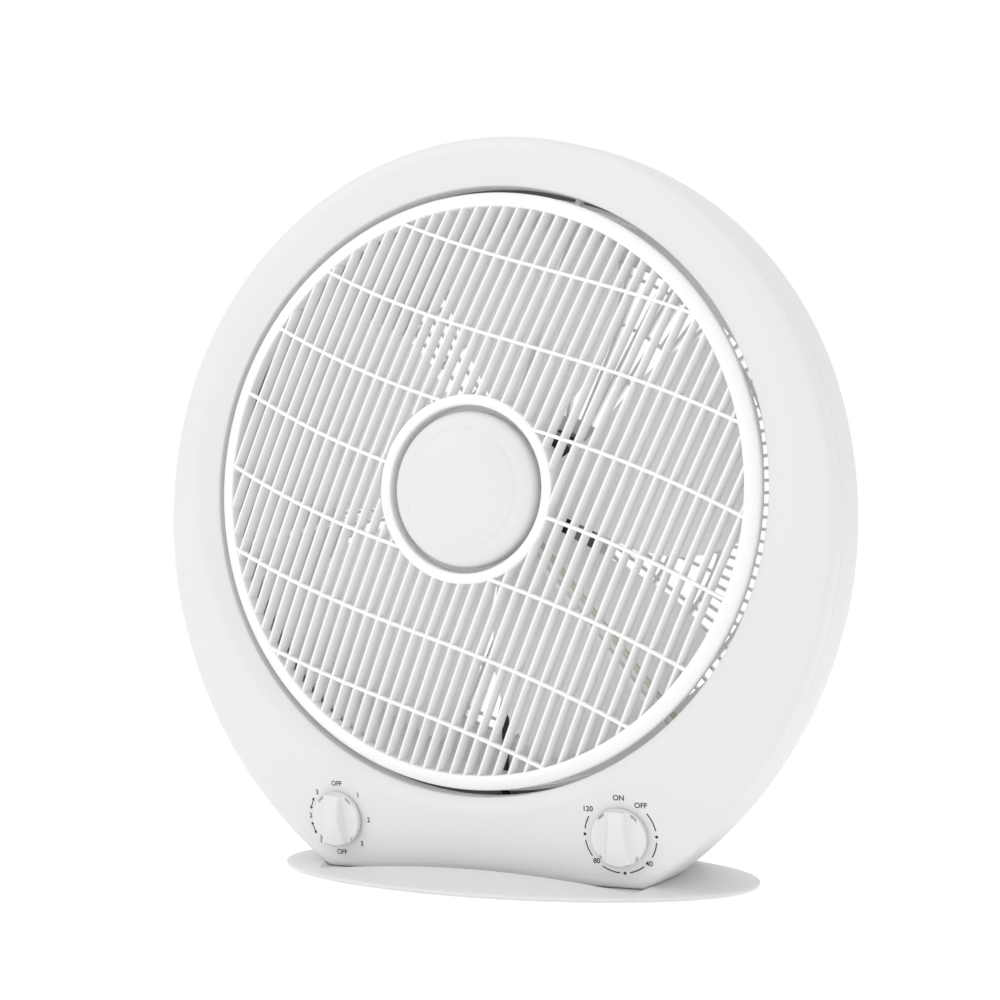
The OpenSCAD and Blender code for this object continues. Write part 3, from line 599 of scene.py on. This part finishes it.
def rib_section(k, u):
    slope = rib_line(u + 0.5) - rib_line(u - 0.5)
    length = math.hypot(1, slope)
    tangent = (1 / length, slope / length)
    q = k * RIB_PITCH + rib_line(u)
    half = 1.1
    front = dome(u, q) + 0.35
    local = []
    for j in range(7):
        a = math.pi * j / 6
        local.append((half * math.cos(a), -0.7 + 0.7 * math.sin(a)))
    local += [(-half, -4.0), (half, -4.0)]
    out = []
    for s, w in local:
        p = u + tangent[1] * s
        out.append((*lean(p, q - tangent[0] * s), front + w))
    return out


def make_grille():
    build = Build()
    half_count = int(RIM_INNER_R // SLAT_PITCH)
    for i in range(-half_count, half_count + 1):
        p0 = (i + 0.5) * SLAT_PITCH
        if abs(p0) > RIM_INNER_R - 1:
            continue
        for q0, q1 in slat_spans(p0 - SLAT_THICK / 2):
            steps = max(4, int((q1 - q0) / 6))
            build.solid_strip([slat_section(p0, q0 + (q1 - q0) * j / steps) for j in range(steps + 1)])
    for k in range(-3, 4):
        for run in rib_runs(k):
            us = run[::6] + ([run[-1]] if (len(run) - 1) % 6 else [])
            build.solid_strip([rib_section(k, u) for u in us])
    rim = rounded([
        (RIM_INNER_R, -5),
        (RIM_INNER_R, 4.9),
        (RIM_INNER_R + 3.5, 5.4),
        (RIM_OUTER_R - 2.0, 3.2),
        (RIM_OUTER_R, 0.6),
        (RIM_OUTER_R, -5),
    ], [0, 1.2, 2.2, 2.2, 1.6, 0], 6)
    build.revolve(rim, 256)
    hub = rounded([
        (HUB_WELL_R, -1),
        (HUB_WELL_R, 14.2),
        (HUB_RING_R - 3, CROWN + 0.9),
        (HUB_RING_R, CROWN + 0.2),
        (HUB_RING_R, 3),
        (HUB_RING_R - 2, -1),
    ], [0, 1.3, 2.2, 1.6, 0.8, 0], 6)
    build.revolve(hub, 160)
    bore_r, boss_r, plate_r = 3.55, 8, HUB_WELL_R + 1
    plate = [
        (bore_r, -3), (boss_r, -3), (boss_r, -1), (plate_r, -1),
        (plate_r, 2), (boss_r, 2), (boss_r, 6), (bore_r, 6),
    ]
    build.revolve(plate, 96)
    return build.finish("visual_grille", "grille", "grille_plastic", 40)


def make_cap():
    outer = smooth_curve([(0, 24.5), (12, 24.15), (24, 22.9), (32, 21.0), (36.4, 19.6)], 8)
    step = rounded([
        outer[-1], (37.3, 18.8), (38.6, 18.75), (42.0, 18.0), (46.6, 15.6), (CAP_R, 11.0), (CAP_R, 2.3),
        (CAP_R - 2, 2.3), (CAP_R - 2, 11), (44, 14.4), (36, 16.8), (24, 20.4), (12, 21.8), (0, 22.2),
    ], [0, 0.5, 1.0, 2.2, 2.6, 3.0, 0, 0, 2.0, 0, 0, 0, 0, 0], 6)
    build = Build()
    build.revolve(outer[:-1] + step, 192)
    for a in (90, 210, 330):
        build.tube(polar(30, a), -2.5, 18, 2.5)
    return build.finish("visual_cap", "grille", "white_plastic", 30)


# ---------------------------------------------------------------- impeller
IMPELLER_R = 172.0
IMPELLER_FRONT = -36.0
IMPELLER_BACK = -74.0
BLADE_COUNT = 5
BLADE_REST = 7.0
BLADE_SWEEP = 6.0


def blade_section(f, rest):
    """Closed outline of a blade at share f of its length: front face, then back face."""
    reach = 38 + (IMPELLER_R - 38) * f
    span = 54 + 8 * math.sin(math.pi * f) - 10 * f ** 4
    root = min(1.0, 0.6 + 2.2 * f)
    depth = (IMPELLER_FRONT - IMPELLER_BACK - 8) * (1 - 0.25 * f) * root
    tip = math.sqrt(max(0.0, 1 - max(0.0, (f - 0.97) / 0.03) ** 2 * 0.75))
    chords = 22
    out = []
    for side in (1, -1):
        order = range(chords + 1) if side > 0 else range(chords, -1, -1)
        for j in order:
            v = j / chords
            edge = math.sqrt(max(0.0, 1 - abs(2 * v - 1) ** 12))
            half = 1.05 * tip * (0.25 + 0.75 * edge)
            a = math.radians(rest + BLADE_SWEEP * f ** 1.5 + span * (v - 0.5))
            z = IMPELLER_FRONT - 5 - depth * (v + 0.10 * math.sin(math.pi * v)) + side * half
            out.append((reach * math.cos(a), reach * math.sin(a), z))
    return out


def make_impeller():
    build = Build()
    front, back = IMPELLER_FRONT, IMPELLER_BACK
    bore_r, sleeve_r, hub_r, sleeve_end = 4.02, 9, 40, -61
    hub = rounded([
        (bore_r, front - 4), (30, front - 4), (36.5, front - 5), (hub_r, front - 11), (hub_r, back + 12),
        (hub_r - 2.5, back + 12), (hub_r - 2.5, front - 12), (34.5, front - 7.6), (sleeve_r, front - 7.6),
        (sleeve_r, sleeve_end), (bore_r, sleeve_end),
    ], [0, 2, 3, 4, 0.6, 0.6, 3, 3, 1, 0.4, 0], 5)
    build.revolve(hub, 144)
    stations = 30
    for k in range(BLADE_COUNT):
        rest = BLADE_REST + 360 * k / BLADE_COUNT
        build.solid_strip([blade_section(i / stations, rest) for i in range(stations + 1)])
    return build.finish("visual_impeller", "fan_rotor", "blade_plastic", 40)


# ---------------------------------------------------------------- controls
PANEL_Z = RIDGE_RISE - FACE_SLOPE * (math.hypot(KNOB_X, KNOB_DROP + RIDGE_LIFT) - RIDGE_R)


def control_point(side, x, y, z):
    """From the frame of a control (z out along its spindle) to the fan frame."""
    c, s = math.cos(KNOB_PITCH), math.sin(KNOB_PITCH)
    y, z = y * c - z * s, y * s + z * c
    c, s = math.cos(side * KNOB_YAW), math.sin(side * KNOB_YAW)
    x, z = x * c + z * s, -x * s + z * c
    return (x + side * KNOB_X, y - KNOB_DROP, z + PANEL_Z)


KNOB_BASE = 1.4
KNOB_DISC = 4.8
KNOB_TOP = 10.8
GRIP_HALF = 8.2
FLANK_LEAN = math.radians(30)
FLANK_TAPER = math.radians(5)
KNOB_CROWN_R = 40.0
FREE = 99.0


def knob_columns(s):
    """Half of a knob's section at share s of its height on the dial: (x, z, radius of the knob there)."""
    top = KNOB_TOP - KNOB_CROWN_R + math.sqrt(KNOB_CROWN_R ** 2 - (16 * s) ** 2)
    foot = GRIP_HALF - 17 * s * math.tan(FLANK_TAPER)
    edge = foot - (top - KNOB_DISC) * math.tan(FLANK_LEAN)
    section = [(0, top), (edge, top - 0.25), (foot, KNOB_DISC), (FREE, KNOB_DISC)]
    corner = rounded(section, [0, 1.6, 1.3, 0], 6)
    top_run = [(corner[1][0] * k / 7, top - 0.25 * (k / 7) ** 2) for k in range(7)]
    bend = corner[1:8]
    low = corner[8:15]
    wall = [tuple(Vector(bend[-1]).lerp(Vector(low[0]), k / 5)) for k in range(1, 5)]
    flat_end = max(low[-1][0], 12.0)
    flat = [(low[-1][0] + (flat_end - low[-1][0]) * k / 3, KNOB_DISC) for k in range(1, 4)]

    def radius(z):
        return 17.15 - 0.8 * max(0.0, z - KNOB_DISC) / (KNOB_TOP - KNOB_DISC)

    columns = [(x, z, radius(z)) for x, z in top_run + bend + wall + low + flat]
    rim = rounded([
        (15.6, KNOB_DISC),
        (17.2, KNOB_DISC),
        (17.35, KNOB_BASE + 0.4),
        (17.0, KNOB_BASE),
    ], [0, 1.2, 0.3, 0], 6)
    columns += [(FREE, z, r) for r, z in rim]
    columns.append((0.0, KNOB_BASE, 17.0))
    return columns


def knob_row(side, s, turn):
    half = []
    for x, z, r in knob_columns(s):
        limit = r * math.sqrt(max(0.0, 1 - s * s))
        x_here = min(x, limit)
        y_here = s * r
        if z > KNOB_DISC + 0.5:
            gap = max(0.0, r - math.hypot(x_here, y_here))
            soft = 1.1
            if gap < soft and x <= limit + 0.5:
                drop = soft - math.sqrt(max(0.0, soft ** 2 - (soft - gap) ** 2))
                z -= drop * min(1.0, (z - KNOB_DISC) / 4)
        half.append((x_here, y_here, z))
    loop = half + [(-x, y, z) for x, y, z in reversed(half[1:-1])]
    c, n = math.cos(turn), math.sin(turn)
    return [control_point(side, x * c - y * n, x * n + y * c, z) for x, y, z in loop]


def make_knob(name, body, side, turn=0.0):
    build = Build()
    steps = 72
    rows = [knob_row(side, math.sin(math.pi / 2 * (2 * i / steps - 1)), turn) for i in range(steps + 1)]
    build.grid(rows, close_cols=True)
    return build.finish(name, body, "white_plastic", 50)


# ---------------------------------------------------------------- printed marks
MARK_R = 22.4
LETTER_SIZE = 4.5
LETTER_SWELL = 0.022  # share of the size by which strokes are thickened


def flat_text(text, size):
    """Triangles of a line of text, centred on the origin, in mm."""
    curve = bpy.data.curves.new("text", "FONT")
    curve.body = text
    curve.size = size
    curve.align_x = "CENTER"
    curve.align_y = "CENTER"
    curve.offset = size * LETTER_SWELL
    curve.resolution_u = 6
    obj = bpy.data.objects.new("text", curve)
    bpy.context.scene.collection.objects.link(obj)
    mesh = bpy.data.meshes.new_from_object(obj.evaluated_get(bpy.context.evaluated_depsgraph_get()))
    points = [(v.co.x, v.co.y) for v in mesh.vertices]
    faces = [tuple(p.vertices) for p in mesh.polygons]
    bpy.data.objects.remove(obj)
    bpy.data.curves.remove(curve)
    bpy.data.meshes.remove(mesh)
    return points, faces


def flat_arc(r, a0, a1, width):
    """Arc stroke on a dial; angles run clockwise from the top, in degrees."""
    n = max(3, int(abs(a1 - a0) / 3))
    points, faces = [], []
    for i in range(n + 1):
        a = math.radians(a0 + (a1 - a0) * i / n)
        for rr in (r - width / 2, r + width / 2):
            points.append((rr * math.sin(a), rr * math.cos(a)))
    for i in range(n):
        faces.append((2 * i, 2 * i + 1, 2 * i + 3, 2 * i + 2))
    return points, faces


def flat_disc(x, y, r):
    n = 24
    turn = [2 * math.pi * k / n for k in range(n)]
    points = [(x + r * math.cos(a), y + r * math.sin(a)) for a in turn]
    return points, [tuple(range(n))]


def flat_head(x, y, dx, dy, length, width):
    """Arrow head with its point at (x, y), pointing along (dx, dy)."""
    norm = math.hypot(dx, dy)
    dx, dy = dx / norm, dy / norm
    base = (x - dx * length, y - dy * length)
    return [(x, y), (base[0] - dy * width / 2, base[1] + dx * width / 2),
            (base[0] + dy * width / 2, base[1] - dx * width / 2)], [(0, 1, 2)]


def dial_place(angle, r=MARK_R):
    a = math.radians(angle)
    return (r * math.sin(a), r * math.cos(a))


def flat_double_arrow(a0, a1):
    (x0, y0), (x1, y1) = dial_place(a0), dial_place(a1)
    dx, dy = x1 - x0, y1 - y0
    norm = math.hypot(dx, dy)
    ux, uy = dx / norm, dy / norm
    w = 0.36
    cut_back = 1.0
    xa, ya, xb, yb = x0 + ux * cut_back, y0 + uy * cut_back, x1 - ux * cut_back, y1 - uy * cut_back
    corners = [
        (xa - uy * w, ya + ux * w),
        (xa + uy * w, ya - ux * w),
        (xb + uy * w, yb - ux * w),
        (xb - uy * w, yb + ux * w),
    ]
    bar = (corners, [(0, 1, 2, 3)])
    return [bar, flat_head(x0, y0, -dx, -dy, 1.9, 2.6), flat_head(x1, y1, dx, dy, 1.9, 2.6)]


def make_marks(name, side, shapes, surface):
    """Prints flat shapes on the panel as closed inlays 0.05 mm proud of it."""
    points, faces = [], []
    direction = (world(*control_point(side, 0, 0, -1)) - world(*control_point(side, 0, 0, 0))).normalized()
    for flat_points, flat_faces in shapes:
        n = len(flat_points)
        start = len(points)
        for height in (0.00005, -0.0003):
            for x, y in flat_points:
                origin = world(*control_point(side, x, y, 30))
                hit = surface.ray_cast(origin, direction)[0]
                points.append(hit - direction * height)
        edges = {}
        for face in flat_faces:
            faces.append(tuple(start + i for i in face))
            faces.append(tuple(start + n + i for i in reversed(face)))
            for a, b in zip(face, face[1:] + face[:1]):
                if (b, a) in edges:
                    del edges[(b, a)]
                else:
                    edges[(a, b)] = True
        for a, b in edges:
            faces.append((start + b, start + a, start + n + a, start + n + b))
    return piece(name, points, faces, "body", "black_plastic", 30)


def moved(shape, x, y):
    points, faces = shape
    return [(px + x, py + y) for px, py in points], faces


def speed_marks():
    shapes = []
    labels = ("OFF", "1", "2", "3", "OFF", "1", "2", "3")
    for angle, text in zip(range(0, 360, 45), labels):
        shapes.append(moved(flat_text(text, LETTER_SIZE), *dial_place(angle)))
    for a0, a1 in ((238, 260), (281, 303)):
        shapes += flat_double_arrow(a0, a1)
    return shapes


def timer_marks():
    shapes = []
    labels = ((0, 23.4, "ON"), (35, 23.6, "OFF"), (133, 23.2, "40"), (225, 22.4, "80"), (309, 25.4, "120"))
    for angle, r, text in labels:
        shapes.append(moved(flat_text(text, LETTER_SIZE), *dial_place(angle, r)))
    for angle in (88, 176, 271):
        shapes.append(flat_disc(*dial_place(angle), 0.95))
    for a0, a1 in ((49, 79), (97, 122), (142, 168), (184, 213), (235, 262), (280, 301)):
        shapes.append(flat_arc(MARK_R, a0, a1, 0.75))
    return shapes


# ---------------------------------------------------------------- materials
def new_material(name, colour, rough, metallic=0.0, painted_glow=0.0, grain=0.0008, bump=0.05, spread=0.02):
    """Moulded or metal surface: fine colour variation, roughness variation, a grain bump and an optional
    faint white emission, which is painted light.
    """
    material = bpy.data.materials.new(name)
    material.use_nodes = True
    tree = material.node_tree
    shader = tree.nodes["Principled BSDF"]
    shader.inputs["Metallic"].default_value = metallic
    # The emission set here is painted light: it brightens a surface in its shade, not a lamp.
    shader.inputs["Emission Color"].default_value = (1.0, 1.0, 1.0, 1.0)
    shader.inputs["Emission Strength"].default_value = painted_glow
    coords = tree.nodes.new("ShaderNodeTexCoord")
    cloud = tree.nodes.new("ShaderNodeTexNoise")
    cloud.inputs["Scale"].default_value = 14.0
    cloud.inputs["Detail"].default_value = 4.0
    tree.links.new(coords.outputs["Object"], cloud.inputs["Vector"])
    ramp = tree.nodes.new("ShaderNodeMix")
    ramp.data_type = "RGBA"
    low = tuple(max(0.0, c * (1 - spread)) for c in colour) + (1.0,)
    high = tuple(min(1.0, c * (1 + spread)) for c in colour) + (1.0,)
    ramp.inputs["A"].default_value = low
    ramp.inputs["B"].default_value = high
    tree.links.new(cloud.outputs["Fac"], ramp.inputs["Factor"])
    tree.links.new(ramp.outputs["Result"], shader.inputs["Base Color"])
    fine = tree.nodes.new("ShaderNodeTexNoise")
    fine.inputs["Scale"].default_value = 1.0 / grain
    fine.inputs["Detail"].default_value = 3.0
    tree.links.new(coords.outputs["Object"], fine.inputs["Vector"])
    span = tree.nodes.new("ShaderNodeMapRange")
    span.inputs["To Min"].default_value = rough - 0.05
    span.inputs["To Max"].default_value = rough + 0.05
    tree.links.new(cloud.outputs["Fac"], span.inputs["Value"])
    tree.links.new(span.outputs["Result"], shader.inputs["Roughness"])
    relief = tree.nodes.new("ShaderNodeBump")
    relief.inputs["Strength"].default_value = bump
    relief.inputs["Distance"].default_value = 0.0002
    tree.links.new(fine.outputs["Fac"], relief.inputs["Height"])
    tree.links.new(relief.outputs["Normal"], shader.inputs["Normal"])
    return material


MATERIALS = {
    "white_plastic": new_material("white_plastic", WHITE, 0.42, bump=0.04),
    # The grille's white is lighter than the shell's, partly its own tone and partly painted light against
    # the shade between the slats. The blades' lighter white is painted light too, and so is the faint
    # emission on both, which brightens them inside the fan.
    "grille_plastic": new_material("grille_plastic", (0.79, 0.79, 0.79), 0.42, painted_glow=0.05, bump=0.04),
    "blade_plastic": new_material("blade_plastic", (0.84, 0.84, 0.84), 0.38, painted_glow=0.05, bump=0.04),
    "black_plastic": new_material("black_plastic", (0.015, 0.015, 0.017), 0.5, spread=0.15),
    "cream_plastic": new_material("cream_plastic", (0.70, 0.66, 0.55), 0.5),
    "motor_enamel": new_material("motor_enamel", (0.03, 0.03, 0.032), 0.4, grain=0.0015, bump=0.12),
    "lamination_steel": new_material("lamination_steel", (0.35, 0.35, 0.36), 0.45, metallic=0.9, bump=0.1),
    "copper_wire": new_material("copper_wire", (0.55, 0.22, 0.10), 0.35, metallic=0.9, bump=0.2),
    "bronze": new_material("bronze", (0.55, 0.38, 0.20), 0.4, metallic=1.0, bump=0.1),
    "steel": new_material("steel", (0.56, 0.56, 0.57), 0.3, metallic=1.0),
    "rubber": new_material("rubber", (0.04, 0.04, 0.04), 0.8, bump=0.15),
}


def dress():
    """Every shown piece and every CAD node gets the material of its slot."""
    slots = {part["node"]: part["material_slot"] for part in frame["record"]["subparts"]}
    for node, obj in frame["nodes"].items():
        obj.data.materials.clear()
        obj.data.materials.append(MATERIALS[slots[node]])
    for obj in bpy.context.scene.objects:
        slot = obj.get("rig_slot")
        if obj.type == "MESH" and slot and slot in MATERIALS and "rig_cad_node" not in obj:
            obj.data.materials.clear()
            obj.data.materials.append(MATERIALS[slot])


# ---------------------------------------------------------------- the photograph's camera
PHOTO_SIZE = 1000  # pixels along each side of the frame


def make_camera():
    azimuth, elevation = math.radians(26.494), math.radians(-2.6)
    distance = 1.14
    focal = 1830.37
    centre_px = (474.15, 489.92)
    level = math.cos(elevation)
    back = Vector((math.sin(azimuth) * level, -math.cos(azimuth) * level, math.sin(elevation)))
    right = Vector((math.cos(azimuth), math.sin(azimuth), 0))
    up = back.cross(right)
    rows = Matrix((right, up, back))
    ax = math.atan((centre_px[0] - PHOTO_SIZE / 2) / focal)
    ay = math.atan(-(centre_px[1] - PHOTO_SIZE / 2) / focal)
    turn_y = Matrix(((math.cos(ax), 0, -math.sin(ax)), (0, 1, 0), (math.sin(ax), 0, math.cos(ax))))
    turn_x = Matrix(((1, 0, 0), (0, math.cos(ay), -math.sin(ay)), (0, math.sin(ay), math.cos(ay))))
    rotation = (turn_x @ turn_y @ rows).transposed()
    data = bpy.data.cameras.new("camera")
    data.sensor_width = 36.0
    data.lens = focal * data.sensor_width / PHOTO_SIZE
    camera = bpy.data.objects.new("camera", data)
    camera.matrix_world = Matrix.Translation(world(0, 0, 0) + back * distance) @ rotation.to_4x4()
    bpy.context.scene.collection.objects.link(camera)
    bpy.context.scene.camera = camera


def area_light(name, place, target, size, power):
    data = bpy.data.lights.new(name, "AREA")
    data.shape = "SQUARE"
    data.size = size
    data.energy = power
    light = bpy.data.objects.new(name, data)
    light.location = place
    light.rotation_euler = (Vector(target) - Vector(place)).to_track_quat("-Z", "Y").to_euler()
    bpy.context.scene.collection.objects.link(light)


def make_studio():
    world_data = bpy.data.worlds.new("studio")
    world_data.use_nodes = True
    background = world_data.node_tree.nodes["Background"]
    background.inputs["Color"].default_value = (1.0, 1.0, 1.0, 1.0)
    background.inputs["Strength"].default_value = 1.0
    bpy.context.scene.world = world_data
    bpy.context.scene.view_settings.view_transform = "Standard"
    area_light("key", (-1.4, -1.6, 1.9), (0, 0, 0.25), 1.4, 8)
    area_light("top", (0.1, -0.7, 1.6), (0, -0.05, 0.1), 0.8, 1.5)
    mesh = bpy.data.meshes.new("floor")
    half = 6.0
    corners = [(-half, -half, 0), (half, -half, 0), (half, half, 0), (-half, half, 0)]
    mesh.from_pydata(corners, [], [(0, 1, 2, 3)])
    floor = bpy.data.objects.new("floor", mesh)
    bpy.context.scene.collection.objects.link(floor)
    material = bpy.data.materials.new("floor_paint")
    material.use_nodes = True
    shader = material.node_tree.nodes["Principled BSDF"]
    shader.inputs["Base Color"].default_value = (0.85, 0.85, 0.85, 1.0)
    shader.inputs["Roughness"].default_value = 0.7
    shader.inputs["Emission Color"].default_value = (1.0, 1.0, 1.0, 1.0)
    shader.inputs["Emission Strength"].default_value = 0.35
    mesh.materials.append(material)


# ---------------------------------------------------------------- build everything
make_camera()
make_studio()

front_shell = make_front_shell()
rear_shell = make_rear_shell()
foot = make_foot()
grille = make_grille()
cap = make_cap()
impeller = make_impeller()
speed_knob = make_knob("visual_speed_knob", "speed_control", -1)
timer_knob = make_knob("visual_timer_knob", "timer_control", 1)

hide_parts("front_shell")
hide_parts("rear_shell")
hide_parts("foot_plate")
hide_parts("rotary_grille")
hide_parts("centre_cap")
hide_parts("impeller")
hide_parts("speed_knob")
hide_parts("timer_knob")

panel = BVHTree.FromPolygons([v.co for v in front_shell.data.vertices],
                             [tuple(p.vertices) for p in front_shell.data.polygons])
make_marks("speed_marks", -1, speed_marks(), panel)
make_marks("timer_marks", 1, timer_marks(), panel)

dress()
